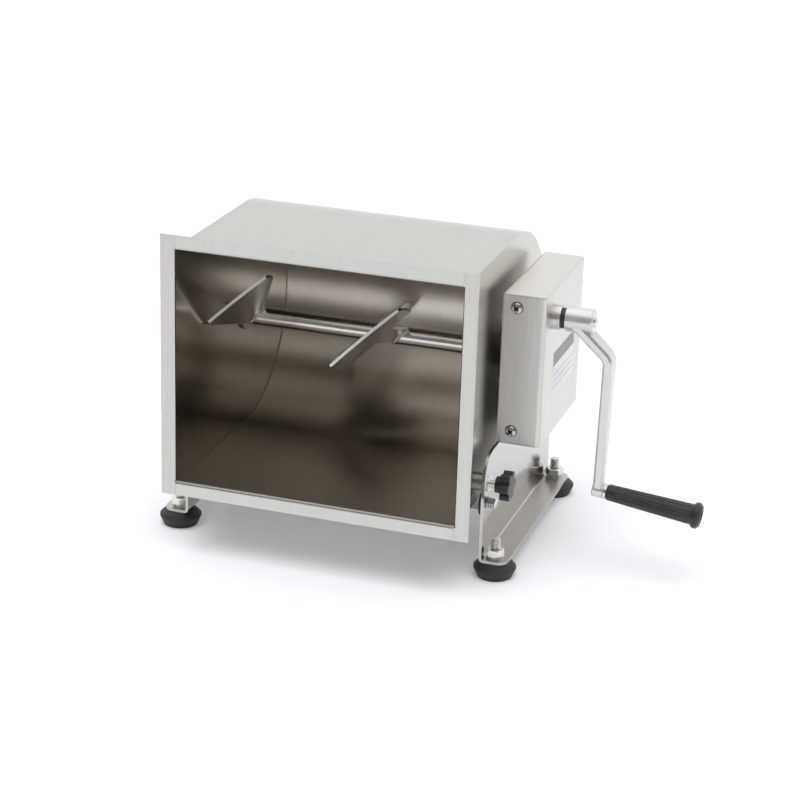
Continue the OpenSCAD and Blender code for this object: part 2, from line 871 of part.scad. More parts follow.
module pinion() {
    color("goldenrod") placed() on_crank() difference() {
        sheet_x(gear_x - 1, gear_x + gear_w + 1)
            rotate(mesh_angle + 180 + 180 / pinion_z) gear_outline(pinion_z, tooth_size, 4);
        bar_x(gear_x - 3, gear_x + gear_w + 3, crank_r);
    }
}

module crank_spacer() {
    color("black") placed() on_crank() difference() {
        bar_x(spacer_x, hub_x, crank_r + 2.5);
        bar_x(spacer_x - 1, hub_x + 1, crank_r);
    }
}

// A point at the distance d from p, in the direction a
function polar(p, d, a) = p + d * [cos(a), sin(a)];

// Side view of the arm in X and Z: a bar from p round a bend at q to r
module bent_bar(p, q, r, steps = 6) {
    a1 = atan2(q[1] - p[1], q[0] - p[0]);
    a2 = atan2(r[1] - q[1], r[0] - q[0]);
    half = arm_t / 2;
    start = polar(q, -arm_bend * tan((a1 - a2) / 2), a1);
    centre = polar(start, arm_bend, a1 - 90);
    polygon(concat(
        [polar(p, half, a1 + 90)],
        [for (k = [0 : steps]) polar(centre, arm_bend + half, a1 + 90 + (a2 - a1) * k / steps)],
        [polar(r, half, a2 + 90), polar(r, -half, a2 + 90)],
        [for (k = [steps : -1 : 0]) polar(centre, arm_bend - half, a1 + 90 + (a2 - a1) * k / steps)],
        [polar(p, -half, a1 + 90)]));
}

// Crank arm: hub, a flat bar with one bend that narrows downward, and a boss for the grip's pin
module crank_arm() {
    top = [arm_top_x, arm_top_z];
    bend = [arm_bend_x, arm_bend_z];
    foot = [arm_end_x, -crank_throw];
    into = top + (top - bend) * arm_top_z / (arm_bend_z - arm_top_z);
    color("gainsboro") placed() difference() {
        union() {
            on_crank() translate([hub_x, 0, 0]) rotate([0, 90, 0]) rotate_extrude()
                polygon([[0, 0], [hub_d / 2, 0], [hub_d / 2, hub_len - 1.5],
                    [hub_d / 2 - 1.5, hub_len], [0, hub_len]]);
            on_crank() intersection() {
                sheet_y(-arm_w, arm_w) bent_bar(into, bend, foot);
                sheet_x(hub_x, arm_bend_x + 2 * arm_t) polygon([[-arm_w / 2, arm_t], [arm_w / 2, arm_t],
                    [arm_end_w / 2, -crank_throw - 1], [-arm_end_w / 2, -crank_throw - 1]]);
            }
            on_grip() bar_x(-grip_boss_len / 2, grip_boss_len / 2, arm_end_w / 2 + 1);
        }
        on_crank() bar_x(hub_x - 1, hub_end + 1, crank_r);
        on_grip() bar_x(-grip_boss_len, grip_boss_len, grip_pin_d / 2);
    }
}

// Dome-head screw that holds the arm on its shaft
module crank_screw() {
    dome_r = (pow(crank_head_r, 2) + pow(crank_head_h, 2)) / 2 / crank_head_h;
    color("silver") placed() on_crank() {
        bar_x(hub_end - 12, hub_end, 3);
        translate([hub_end, 0, 0]) rotate([0, 90, 0]) rotate_extrude() intersection() {
            translate([0, crank_head_h - dome_r]) circle(dome_r);
            square([crank_head_r + 1, crank_head_h + 1]);
        }
    }
}

// Pin through the grip, with a head sunk in the grip's end
module grip_pin() {
    color("silver") placed() on_grip() {
        bar_x(-grip_boss_len / 2, grip_end - grip_recess + pass_gap, grip_pin_d / 2);
        translate([grip_end - grip_recess + pass_gap, 0, 0]) bar_x(0, pin_head_t, pin_head_r);
    }
}

module grip_collar() {
    color("gainsboro") placed() on_grip() difference() {
        bar_x(grip_boss_len / 2, grip_boss_len / 2 + collar_t, grip_d1 / 2 - 0.5);
        bar_x(grip_boss_len / 2 - 1, grip_boss_len / 2 + collar_t + 1, grip_pin_d / 2);
    }
}

// Fluted grip with a flared end ring, turned about its pin
module grip() {
    r1 = grip_d1 / 2;
    r2 = grip_d2 / 2;
    ring_r = grip_ring_d / 2;
    body = grip_len - grip_ring_t;
    slope = atan2(r2 - r1, body - 6);
    color("black") placed() on_grip() translate([grip_start, 0, 0]) difference() {
        rotate([0, 90, 0]) rotate_extrude() polygon([[0, 0], [r1 - 1.5, 0], [r1, 1.5], [r1, 6],
            [r2, body], [ring_r - 2, body], [ring_r, body + 2], [ring_r, grip_len - 3],
            [ring_r - 3, grip_len], [0, grip_len]]);
        for (k = [0 : grip_flutes - 1])
            rotate([360 * k / grip_flutes, 0, 0]) translate([8, 0, r1 + 1.4 + 0.1])
                rotate([0, 90 - slope, 0]) cylinder(h = body - 12, r = 2, $fn = 24);
        bar_x(-1, grip_len + 1, grip_pin_d / 2 + run_gap);
        bar_x(grip_len - grip_recess, grip_len + 1, pin_head_r + pass_gap);
    }
}

module plunger_pin() {
    color("silver") placed() translate([0, lock_y, lock_z]) bar_x(pin_tip, knob_x + knob_bore, plunger_r);
}

module star_knob() {
    lobe_r = 4.5;
    lobe_at = knob_d / 2 - lobe_r;
    color("black") placed() translate([0, lock_y, lock_z]) difference() {
        union() {
            bar_x(knob_x, knob_x + knob_neck, 8.5);
            sheet_x(knob_x + knob_neck, knob_x + knob_neck + knob_lobe_t) union() {
                circle(lobe_at);
                for (k = [0 : knob_lobes - 1])
                    rotate(360 * k / knob_lobes) translate([lobe_at, 0]) circle(lobe_r);
            }
        }
        bar_x(knob_x - 1, knob_x + knob_bore, plunger_r);
    }
}

right_stand();
left_stand();
cross_tie();
foot_front_left();
foot_front_right();
foot_rear_left();
foot_rear_right();
foot_studs();
foot_washers();
foot_nuts();
left_pivot_bush();
right_pivot_bush();
gearbox_cover();
cover_screws();
crank_bush();
crank_inner_bush();
plunger_bush();
plunger_nut();
stop_bolt();
stop_sleeve();
tub_wrapper();
tub_left_end();
tub_right_end();
left_trunnion();
right_trunnion();
shaft_seals();
index_boss();
index_lug();
mixing_shaft();
paddle_1();
paddle_2();
paddle_3();
paddle_4();
drive_gear();
gear_key();
gear_washer();
gear_screw();
left_washer();
left_screw();
crank_shaft();
pinion();
crank_spacer();
crank_arm();
crank_screw();
grip_pin();
grip_collar();
grip();
plunger_pin();
star_knob();
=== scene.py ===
import json
import math

import bmesh
import bpy
from mathutils import Matrix, Vector


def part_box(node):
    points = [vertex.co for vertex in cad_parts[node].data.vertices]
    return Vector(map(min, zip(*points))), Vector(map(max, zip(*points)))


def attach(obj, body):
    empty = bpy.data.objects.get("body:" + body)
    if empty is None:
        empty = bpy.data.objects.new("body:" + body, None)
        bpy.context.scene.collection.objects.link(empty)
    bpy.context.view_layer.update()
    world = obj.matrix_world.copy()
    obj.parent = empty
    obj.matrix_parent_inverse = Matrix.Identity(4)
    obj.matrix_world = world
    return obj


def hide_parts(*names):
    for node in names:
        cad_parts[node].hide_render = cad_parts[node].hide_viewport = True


# Hand-cranked meat mixer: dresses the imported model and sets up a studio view
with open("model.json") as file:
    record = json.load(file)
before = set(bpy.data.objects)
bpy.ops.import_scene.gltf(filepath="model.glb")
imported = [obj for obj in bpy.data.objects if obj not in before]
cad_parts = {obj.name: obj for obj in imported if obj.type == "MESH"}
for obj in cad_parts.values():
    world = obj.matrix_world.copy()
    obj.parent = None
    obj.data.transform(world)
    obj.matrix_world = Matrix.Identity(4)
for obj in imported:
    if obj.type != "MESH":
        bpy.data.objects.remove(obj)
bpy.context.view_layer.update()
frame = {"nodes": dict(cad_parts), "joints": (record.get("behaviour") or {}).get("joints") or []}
NODES = frame["nodes"]
JOINTS = {j["name"]: j for j in frame["joints"]}
MM = 0.001

# Places read from the frame
AXIS = Vector(JOINTS["mixer_spin"]["pos_m"])
CRANK = Vector(JOINTS["crank_spin"]["pos_m"])
GRIP = Vector(JOINTS["grip_spin"]["pos_m"])
GRIP_DIR = Vector(JOINTS["grip_spin"]["axis"])
AXIS_Y, AXIS_Z = AXIS.y / MM, AXIS.z / MM
FEET = ("foot_front_left", "foot_front_right", "foot_rear_left", "foot_rear_right")

# Camera: fitted to the edges of the rim, the stand and the cover
CAM_PLACE = Vector((0.6364, -2.1279, 0.9847))
CAM_YAW, CAM_PITCH, CAM_ROLL = (math.radians(a) for a in (17.91, 20.73, -1.86))
CAM_LENS, CAM_SENSOR, CAM_FAR = 101.75, 36, 50


def add_camera():
    """A camera at CAM_PLACE, turned by the yaw, pitch and roll above."""
    ahead = Vector((-math.sin(CAM_YAW) * math.cos(CAM_PITCH),
                    math.cos(CAM_YAW) * math.cos(CAM_PITCH), -math.sin(CAM_PITCH)))
    right = Vector((math.cos(CAM_YAW), math.sin(CAM_YAW), 0))
    down = ahead.cross(right)
    side = right * math.cos(CAM_ROLL) + down * math.sin(CAM_ROLL)
    foot = down * math.cos(CAM_ROLL) - right * math.sin(CAM_ROLL)
    cam = bpy.data.objects.new("camera", bpy.data.cameras.new("camera"))
    cam.matrix_world = Matrix((side, -foot, -ahead)).transposed().to_4x4()
    cam.location = CAM_PLACE
    cam.data.lens = CAM_LENS
    cam.data.sensor_width = CAM_SENSOR
    cam.data.clip_end = CAM_FAR
    bpy.context.scene.collection.objects.link(cam)
    bpy.context.scene.camera = cam


# Node helpers
COLOUR_A, COLOUR_B, COLOUR_OUT = 6, 7, 2    # sockets of a mix node for colours
NUMBER_A, NUMBER_B, NUMBER_OUT = 2, 3, 0    # and for numbers


def new_material(name):
    """A material, its node tree and its shader."""
    mat = bpy.data.materials.new(name)
    mat.use_nodes = True
    tree = mat.node_tree
    return mat, tree, tree.nodes["Principled BSDF"]


def add(tree, kind, **settings):
    """A node with values for its sockets, by name, and for its other settings."""
    node = tree.nodes.new(kind)
    for key, given in settings.items():
        if key in node.inputs:
            node.inputs[key].default_value = given
        else:
            setattr(node, key, given)
    return node


def ramp(tree, source, stops):
    """A colour ramp over source, with (place, grey or colour) stops."""
    node = tree.nodes.new("ShaderNodeValToRGB")
    while len(node.color_ramp.elements) < len(stops):
        node.color_ramp.elements.new(0.5)
    for element, (place, tone) in zip(node.color_ramp.elements, stops):
        element.position = place
        colour = tone if isinstance(tone, (tuple, list)) else (tone, tone, tone)
        element.color = (*colour, 1)
    tree.links.new(source, node.inputs["Fac"])
    return node


def mix_colour(tree, share, first, second, blend="MIX"):
    """Two colours, each a socket or a tuple, mixed by a socket or a number."""
    node = add(tree, "ShaderNodeMix", data_type="RGBA", blend_type=blend)
    if isinstance(share, (int, float)):
        node.inputs["Factor"].default_value = share
    else:
        tree.links.new(share, node.inputs["Factor"])
    for slot, given in ((COLOUR_A, first), (COLOUR_B, second)):
        if isinstance(given, tuple):
            node.inputs[slot].default_value = (*given, 1)
        else:
            tree.links.new(given, node.inputs[slot])
    return node.outputs[COLOUR_OUT]


def mix_number(tree, share, first, second):
    """Two numbers, each a socket or a plain number, mixed by a socket or a number."""
    node = add(tree, "ShaderNodeMix", data_type="FLOAT")
    for socket, given in ((node.inputs["Factor"], share), (node.inputs[NUMBER_A], first),
                          (node.inputs[NUMBER_B], second)):
        if isinstance(given, (int, float)):
            socket.default_value = given
        else:
            tree.links.new(given, socket)
    return node.outputs[NUMBER_OUT]


def stretched_noise(tree, scale, detail=4, roughness=0.55):
    """Noise in the object's own coordinates, with a scale for each axis, per metre."""
    coord = tree.nodes.new("ShaderNodeTexCoord")
    mapping = add(tree, "ShaderNodeMapping", Scale=scale)
    noise = add(tree, "ShaderNodeTexNoise", Scale=1.0, Detail=detail, Roughness=roughness)
    tree.links.new(coord.outputs["Object"], mapping.inputs["Vector"])
    tree.links.new(mapping.outputs["Vector"], noise.inputs["Vector"])
    return noise.outputs["Fac"]


def brushed_steel(name, base, rough, brush, spread=0.05, tint=0.05, wave=0.2, hair=0.06,
                  lie=None, edge=0.0):
    """Rolled or brushed stainless sheet. brush is the noise scale along X, Y and Z: small along the
    brush lines and large across them. spread and tint vary the roughness and the tone, wave bends
    the sheet, and hair darkens the finest lines. lie (axis, anisotropy, rotation) turns the fine
    brush into a long highlight across it, and edge rounds the corners by that radius."""
    mat, tree, bsdf = new_material(name)
    lines = stretched_noise(tree, brush, 1, 0.4)
    cloud = stretched_noise(tree, (14, 14, 14), 4, 0.6)
    mixed = mix_number(tree, 0.4, lines, cloud)
    rough_ramp = ramp(tree, mixed, [(0.3, rough - spread), (0.7, rough + spread)])
    tree.links.new(rough_ramp.outputs["Color"], bsdf.inputs["Roughness"])
    dark = tuple(c * (1 - tint) for c in base)
    tone = ramp(tree, mixed, [(0.34, dark), (0.6, base)])
    fine_lines = stretched_noise(tree, tuple(4 * c for c in brush), 2)
    hairs = ramp(tree, fine_lines, [(0.35, 1 - hair), (0.65, 1.0)])
    fine = mix_colour(tree, 1, tone.outputs["Color"], hairs.outputs["Color"], "MULTIPLY")
    tree.links.new(fine, bsdf.inputs["Base Color"])
    bumps = add(tree, "ShaderNodeBump", Strength=wave, Distance=0.002)
    tree.links.new(stretched_noise(tree, (7, 7, 7), 1), bumps.inputs["Height"])
    if edge:
        soft = add(tree, "ShaderNodeBevel", samples=6, Radius=edge)
        tree.links.new(soft.outputs["Normal"], bumps.inputs["Normal"])
    tree.links.new(bumps.outputs["Normal"], bsdf.inputs["Normal"])
    bsdf.inputs["Metallic"].default_value = 1
    if lie:
        axis, strength, rotation = lie
        tangent = add(tree, "ShaderNodeTangent", direction_type="RADIAL", axis=axis)
        tree.links.new(tangent.outputs["Tangent"], bsdf.inputs["Tangent"])
        bsdf.inputs["Anisotropic"].default_value = strength
        bsdf.inputs["Anisotropic Rotation"].default_value = rotation
    return mat


def value(tree, operation, first, second=None):
    """A maths node over sockets or numbers."""
    node = add(tree, "ShaderNodeMath", operation=operation)
    for socket, given in zip(node.inputs, (first, second)):
        if isinstance(given, (int, float)):
            socket.default_value = given
        elif given is not None:
            tree.links.new(given, socket)
    return node.outputs[0]


def place_parts(tree):
    """X, Y and Z of a surface point in the frame, at rest."""
    coord = tree.nodes.new("ShaderNodeTexCoord")
    parts = tree.nodes.new("ShaderNodeSeparateXYZ")
    tree.links.new(coord.outputs["Object"], parts.inputs[0])
    return parts.outputs


def change_where(mat, mask, blend, colour, rough=None, metallic=None):
    """Blends colour into a material where mask is 1, and gives it another roughness or metallic
    share there."""
    tree = mat.node_tree
    bsdf = tree.nodes["Principled BSDF"]
    colours = bsdf.inputs["Base Color"]
    mixed = mix_colour(tree, mask, colours.links[0].from_socket, colour, blend)
    tree.links.new(mixed, colours)
    for name, given in (("Roughness", rough), ("Metallic", metallic)):
        if given is None:
            continue
        socket = bsdf.inputs[name]
        before = socket.links[0].from_socket if socket.links else socket.default_value
        tree.links.new(mix_number(tree, mask, before, given), socket)


def bright_metal(name, base, rough, grain=600, spread=0.04, bump=0.02, metal=1.0):
    """Plated or polished metal: spread is how much wear varies the roughness, and grain and bump
    are the scale and the strength of its fine unevenness."""
    mat, tree, bsdf = new_material(name)
    fine = stretched_noise(tree, (grain, grain, grain), 3)
    wear = stretched_noise(tree, (40, 40, 40), 4)
    rough_ramp = ramp(tree, wear, [(0.35, max(rough - spread, 0.02)), (0.7, rough + spread)])
    tree.links.new(rough_ramp.outputs["Color"], bsdf.inputs["Roughness"])
    tone = ramp(tree, wear, [(0.3, tuple(c * 0.92 for c in base)), (0.6, base)])
    tree.links.new(tone.outputs["Color"], bsdf.inputs["Base Color"])
    bumps = add(tree, "ShaderNodeBump", Strength=bump, Distance=0.0002)
    tree.links.new(fine, bumps.inputs["Height"])
    tree.links.new(bumps.outputs["Normal"], bsdf.inputs["Normal"])
    bsdf.inputs["Metallic"].default_value = metal
    return mat


def moulded(name, base, rough, grain, bump, spread=0.08):
    """Moulded plastic or rubber with slightly worn, dusty places. spread, grain and bump are as
    for bright metal."""
    mat, tree, bsdf = new_material(name)
    fine = stretched_noise(tree, (grain, grain, grain), 2)
    wear = stretched_noise(tree, (60, 60, 60), 4)
    rough_ramp = ramp(tree, wear, [(0.3, rough - spread), (0.7, rough + spread)])
    tree.links.new(rough_ramp.outputs["Color"], bsdf.inputs["Roughness"])
    pale = tuple(min(c * 1.7 + 0.004, 1) for c in base)
    tone = ramp(tree, wear, [(0.45, base), (0.8, pale)])
    tree.links.new(tone.outputs["Color"], bsdf.inputs["Base Color"])
    bumps = add(tree, "ShaderNodeBump", Strength=bump, Distance=0.0003)
    tree.links.new(fine, bumps.inputs["Height"])
    tree.links.new(bumps.outputs["Normal"], bsdf.inputs["Normal"])
    return mat


STEEL = (0.61, 0.602, 0.57)
MATS = {
    "tub_wrap": brushed_steel("tub_wrap", STEEL, 0.30, (70, 1.2, 1.2), spread=0.02, tint=0.035,
                              hair=0.03, lie=("X", 0.7, 0.25)),
    "tub_end": brushed_steel("tub_end", STEEL, 0.28, (90, 90, 2), spread=0.02, tint=0.03),
    "plate": brushed_steel("plate", (0.54, 0.525, 0.505), 0.11, (120, 2, 120), spread=0.03,
                           tint=0.04, wave=0.12),
    "cover": brushed_steel("cover", (0.74, 0.724, 0.692), 0.42, (150, 150, 3), spread=0.03,
                           tint=0.03, wave=0.1, edge=0.003),
    "shaft": brushed_steel("shaft", (0.70, 0.685, 0.66), 0.18, (300, 8, 8), wave=0.05),
    "blade": brushed_steel("blade", (0.58, 0.55, 0.51), 0.22, (30, 30, 30), wave=0.05),
    "zinc": bright_metal("zinc", (0.80, 0.80, 0.76), 0.26, metal=0.9),
    "chrome": bright_metal("chrome", (0.70, 0.70, 0.71), 0.2),
    "satin": bright_metal("satin", (0.70, 0.697, 0.695), 0.27, grain=350, spread=0.05, bump=0.08,
                          metal=0.75),
    # Painted shade: dark metal for the bottoms of the thread grooves
    "groove": bright_metal("groove", (0.20, 0.195, 0.18), 0.4),
    "cast": bright_metal("cast", (0.34, 0.33, 0.31), 0.42, grain=300, spread=0.06, bump=0.15),
    "gear": bright_metal("gear", (0.50, 0.49, 0.47), 0.35, spread=0.1),
    "boss": brushed_steel("boss", (0.68, 0.67, 0.65), 0.32, (400, 8, 8), wave=0.05),
    "rubber": moulded("rubber", (0.018, 0.018, 0.018), 0.55, grain=900, bump=0.15),
    "plastic": moulded("plastic", (0.016, 0.016, 0.018), 0.38, grain=1500, bump=0.06),
    "nylon": moulded("nylon", (0.72, 0.70, 0.63), 0.45, grain=800, bump=0.05),
    "weld": bright_metal("weld", (0.66, 0.645, 0.62), 0.28, grain=300, bump=0.1),
    "seam": bright_metal("seam", (0.20, 0.185, 0.165), 0.4, grain=300, bump=0.1),
    "joint": bright_metal("joint", (0.42, 0.40, 0.37), 0.36, grain=300, bump=0.1),
    "screw": bright_metal("screw", (0.50, 0.49, 0.47), 0.16),
    # Painted shade: near-black metal in the screws' cross recesses and the shadow rings round their
    # heads
    "recess": bright_metal("recess", (0.05, 0.047, 0.043), 0.5),
    "label": moulded("label", (0.86, 0.865, 0.87), 0.35, grain=500, bump=0.02),
    "label_band": moulded("label_band", (0.22, 0.22, 0.23), 0.4, grain=500, bump=0.02),
}


# Limits that tell the surfaces of a node apart, in metres
SKIN_MIDDLE = 0.12425    # from the tub's axis to the middle of the wrapper's sheet
BEND_OUT = 0.1268        # from the tub's axis past the bend at the rim
BEND_DEPTH = 0.0045      # from the rim's face past that bend
RIM_DEPTH = 0.004        # from the rim's face past the ends' rim strips
END_MIDDLE = 0.0007      # from the wrapper's edge to the middle of an end's sheet
FLANGE_SLACK = 0.0004    # above the foot flange
PADDLE_OUT = 0.1156      # from the shaft's axis to just short of the paddles' cut edge
PAINTED_WARM_SHADE = (1.0, 0.95, 0.908)    # tint of the tub's inside: painted warm shade


def away(tree, first, second):
    """The length of a vector with two parts."""
    squares = [value(tree, "MULTIPLY", part, part) for part in (first, second)]
    return value(tree, "SQRT", value(tree, "ADD", *squares))


def paint_shade_in_wrapper(low):
    """Painted warm shade on the inside, and a dull bend at the rim. low is the wrapper's lowest
    corner.
    """
    tree = MATS["tub_wrap"].node_tree
    _, y, z = place_parts(tree)
    back = value(tree, "MAXIMUM", value(tree, "SUBTRACT", y, AXIS.y), 0.0)
    out = away(tree, back, value(tree, "SUBTRACT", z, AXIS.z))
    inside = value(tree, "LESS_THAN", out, SKIN_MIDDLE)
    # Painted shade: the inside is tinted warm and a little darker
    change_where(MATS["tub_wrap"], inside, "MULTIPLY", PAINTED_WARM_SHADE)
    bend = value(tree, "MULTIPLY", value(tree, "LESS_THAN", y, low.y + BEND_DEPTH),
                 value(tree, "LESS_THAN", out, BEND_OUT))
    change_where(MATS["tub_wrap"], bend, "MULTIPLY", (1, 1, 1), rough=0.5)


def paint_end_shade_and_tint(low, high):
    """Painted warm shade on the shinier insides, and slightly warm outsides, on the tub's
    ends. low and high are the wrapper's corners."""
    tree = MATS["tub_end"].node_tree
    x, y, _ = place_parts(tree)
    off = value(tree, "ABSOLUTE", value(tree, "SUBTRACT", x, (low.x + high.x) / 2))
    limit = (high.x - low.x) / 2 + END_MIDDLE
    inside = value(tree, "LESS_THAN", off, limit)
    # Painted shade: the insides are tinted warm and a little darker
    change_where(MATS["tub_end"], inside, "MULTIPLY", PAINTED_WARM_SHADE, rough=0.16)
    outside = value(tree, "MULTIPLY", value(tree, "GREATER_THAN", off, limit),
                    value(tree, "GREATER_THAN", y, low.y + RIM_DEPTH))
    change_where(MATS["tub_end"], outside, "MULTIPLY", (1.0, 0.975, 0.94), rough=0.27)


def tint_flange():
    """A duller, slightly darker and warmer foot flange on the stands."""
    tree = MATS["plate"].node_tree
    z = place_parts(tree)[2]
    flange = value(tree, "LESS_THAN", z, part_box("foot_washers")[0].z + FLANGE_SLACK)
    change_where(MATS["plate"], flange, "MULTIPLY", (1.0, 0.99, 0.97), rough=0.3)


def stain_paddles():
    """Bright matt cut edges on the paddles."""
    tree = MATS["blade"].node_tree
    _, y, z = place_parts(tree)
    out = away(tree, value(tree, "SUBTRACT", z, AXIS.z), value(tree, "SUBTRACT", y, AXIS.y))
    edge = value(tree, "GREATER_THAN", out, PADDLE_OUT)
    change_where(MATS["blade"], edge, "MIX", (0.86, 0.855, 0.84), rough=0.5, metallic=0.2)


# The material of each node
FINISH = {
    "tub_wrap": ["tub_wrapper"],
    "tub_end": ["tub_left_end", "tub_right_end"],
    "plate": ["right_stand", "left_stand", "cross_tie", "index_lug"],
    "cover": ["gearbox_cover"],
    "shaft": ["mixing_shaft"],
    "cast": ["left_trunnion", "right_trunnion", "index_boss"],
    "blade": ["paddle_1", "paddle_2", "paddle_3", "paddle_4"],
    "zinc": ["foot_studs", "foot_washers", "foot_nuts", "cover_screws", "plunger_bush",
             "plunger_nut", "plunger_pin", "left_washer", "left_screw", "gear_washer",
             "gear_screw", "gear_key", "stop_bolt"],
    "chrome": ["crank_arm", "crank_shaft", "crank_screw", "grip_pin", "grip_collar"],
    "gear": ["drive_gear", "pinion"],
    "boss": ["crank_bush", "shaft_seals"],
    "rubber": [*FEET, "stop_sleeve"],
    "plastic": ["grip", "star_knob", "crank_spacer"],
    "nylon": ["left_pivot_bush", "right_pivot_bush", "crank_inner_bush"],
}


def dress(obj, mat):
    """Gives an object one material."""
    obj.data.materials.clear()
    obj.data.materials.append(mat)


# Width of the broken edges on machined, cast, moulded or sheet nodes, in millimetres
BEVELS = {"star_knob": 0.7, "plunger_nut": 0.3, "crank_bush": 0.6,
          "grip_collar": 0.4, "crank_spacer": 0.4, "index_boss": 0.5, "grip": 0.3,
          "tub_wrapper": 0.25, "tub_left_end": 0.25, "tub_right_end": 0.25, "right_stand": 0.35,
          "left_stand": 0.35, "cross_tie": 0.35, "index_lug": 0.3, "gearbox_cover": 0.3}
BEVEL_STEPS = 3
BEVEL_ANGLE = 40    # degrees: flatter edges stay as they are


def dress_cad():
    """Materials for all the nodes, and broken edges where they show."""
    for key, names in FINISH.items():
        for name in names:
            dress(NODES[name], MATS[key])
    for name, width in BEVELS.items():
        bevel = NODES[name].modifiers.new("edges", "BEVEL")
        bevel.width = width * MM
        bevel.segments = BEVEL_STEPS
        bevel.limit_method = "ANGLE"
        bevel.angle_limit = math.radians(BEVEL_ANGLE)
        bevel.harden_normals = True


# Mesh pieces. Lengths in this part are in millimetres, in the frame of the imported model
def new_piece(name, parts, mats, body, *nodes, angle=35):
    """A piece from parts of (points, faces, slot or slots), which rides on body and stands for
    nodes. Edges sharper than angle stay sharp."""
    points, faces, slots = [], [], []
    for part_points, part_faces, part_slot in parts:
        faces += [tuple(i + len(points) for i in face) for face in part_faces]
        slots += part_slot if isinstance(part_slot, list) else [part_slot] * len(part_faces)
        points += [tuple(c * MM for c in point) for point in part_points]
    mesh = bpy.data.meshes.new(name)
    mesh.from_pydata(points, [], faces)
    for mat in mats:
        mesh.materials.append(MATS[mat])
    mesh.polygons.foreach_set("material_index", slots)
    solid = bmesh.new()
    solid.from_mesh(mesh)
    bmesh.ops.recalc_face_normals(solid, faces=solid.faces)
    solid.to_mesh(mesh)
    solid.free()
    mesh.shade_smooth()
    mesh.set_sharp_from_angle(angle=math.radians(angle))
    obj = bpy.data.objects.new(name, mesh)
    bpy.context.scene.collection.objects.link(obj)
    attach(obj, body)
    if nodes:
        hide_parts(*nodes)
    return obj


def skin(loops, slot=0, ring=False):
    """A closed skin over loops of points: capped at both ends, or run back to its start for a
    ring."""
    n = len(loops[0])
    points = [point for loop in loops for point in loop]
    pairs = [(i, i + 1) for i in range(len(loops) - 1)] + ([(len(loops) - 1, 0)] if ring else [])
    faces = [(i * n + j, i * n + (j + 1) % n, k * n + (j + 1) % n, k * n + j)
             for i, k in pairs for j in range(n)]
    if not ring:
        faces += [tuple(range(n)), tuple(range(len(points) - n, len(points)))]
    return points, faces, slot


def middle_of(node):
    """The middle of a node's box, in millimetres."""
    low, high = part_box(node)
    return (low + high) / 2 / MM


def across(axis):
    """Two unit vectors at right angles to axis and to each other."""
    axis = Vector(axis).normalized()
    first = axis.orthogonal().normalized()
    return first, axis.cross(first)


def turned(start, axis, profile, sides=48, slot=0, ring=False):
    """A turned form: profile gives (distance along axis, radius)."""
    first, second = across(axis)
    start, axis = Vector(start), Vector(axis).normalized()
    turns = [2 * math.pi * k / sides for k in range(sides)]
    return skin([[start + axis * along + (first * math.cos(t) + second * math.sin(t)) * radius
                  for t in turns] for along, radius in profile], slot, ring)


def threaded(start, axis, length, radius, pitch, depth, chamfer=1.0, sides=36, rows=7):
    """A bar with a screw thread along its whole length and a chamfer at its far end. Each pitch
    has so many rows of faces. Slot 0 is the bar, slot 1 the groove bottoms in painted shade."""
    first, second = across(axis)
    start, axis = Vector(start), Vector(axis).normalized()
    count = int(rows * length / pitch)
    loops, slots = [], []
    for i in range(count + 1):
        along = length * i / count
        limit = radius - max(0, chamfer - (length - along))
        loop = []
        for k in range(sides):
            turn = 2 * math.pi * k / sides
            phase = (along / pitch - k / sides) % 1
            # Full depth over a fifth of the pitch, with a sloping flank of a fifth on each side
            groove = min(1, max(0, 1.5 - abs(phase - 0.5) * 5))
            out = min(radius - depth * groove, limit)
            # Painted shade: faces deep in the groove take the dark groove material
            slots.append(1 if groove > 0.6 else 0)
            spoke = first * math.cos(turn) + second * math.sin(turn)
            loop.append(start + axis * along + spoke * out)
        loops.append(loop)
    points, faces, _ = skin(loops)
    return points, faces, slots[:count * sides] + [0, 0]


def hexagon(place, flats, height, bore, turn, sides=72):
    """A hexagon nut on a vertical stud, with its corners turned down at both ends."""
    x, y, z = place
    turns = [2 * math.pi * k / sides for k in range(sides)]
    flat = flats / 2
    out = [flat / math.cos((t + math.pi / 6) % (math.pi / 3) - math.pi / 6) for t in turns]
    crown, slope = flat * 0.94, 0.5
    lower = [slope * (r - crown) for r in out]
    upper = [height - v for v in lower]
    rows = [(bore, [0] * sides), (crown, [0] * sides), (None, lower), (None, upper),
            (crown, [height] * sides), (bore, [height] * sides)]
    turn = math.radians(turn)
    loops = [[(x + (radius or r) * math.cos(t + turn), y + (radius or r) * math.sin(t + turn),
               z + rise) for t, r, rise in zip(turns, out, rises)] for radius, rises in rows]
    return skin(loops, ring=True)


def tube(path, radius, ripple, pitch, sides=10):
    """A bead along path, with ripples like those of a weld."""
    path = [Vector(point) for point in path]
    loops, along = [], 0.0
    for i, point in enumerate(path):
        ahead = (path[min(i + 1, len(path) - 1)] - path[max(i - 1, 0)]).normalized()
        along += (point - path[i - 1]).length if i else 0
        out = radius * (1 + ripple * math.cos(2 * math.pi * along / pitch))
        out *= 0.5 if i in (0, len(path) - 1) else 1
        first = Vector((1, 0, 0)) - ahead * ahead.x
        first = first.normalized() if first.length > 0.2 else ahead.orthogonal().normalized()
        second = ahead.cross(first)
        turns = [2 * math.pi * k / sides for k in range(sides)]
        loops.append([point + (first * math.cos(t) + second * math.sin(t)) * out for t in turns])
    return skin(loops)


def slab(outline, x0, x1, slot):
    """A flat plate with an outline in Y and Z, from x0 to x1."""
    return skin([[(x, y, z) for y, z in outline] for x in (x0, x1)], slot)


def rounded(y0, y1, z0, z1, radius, steps=5):
    """Outline of a rectangle with round corners."""
    corners = [(y1 - radius, z1 - radius, 0), (y0 + radius, z1 - radius, 90),
               (y0 + radius, z0 + radius, 180), (y1 - radius, z0 + radius, 270)]
    return [(y + radius * math.cos(math.radians(a + 90 * k / steps)),
             z + radius * math.sin(math.radians(a + 90 * k / steps)))
            for y, z, a in corners for k in range(steps + 1)]


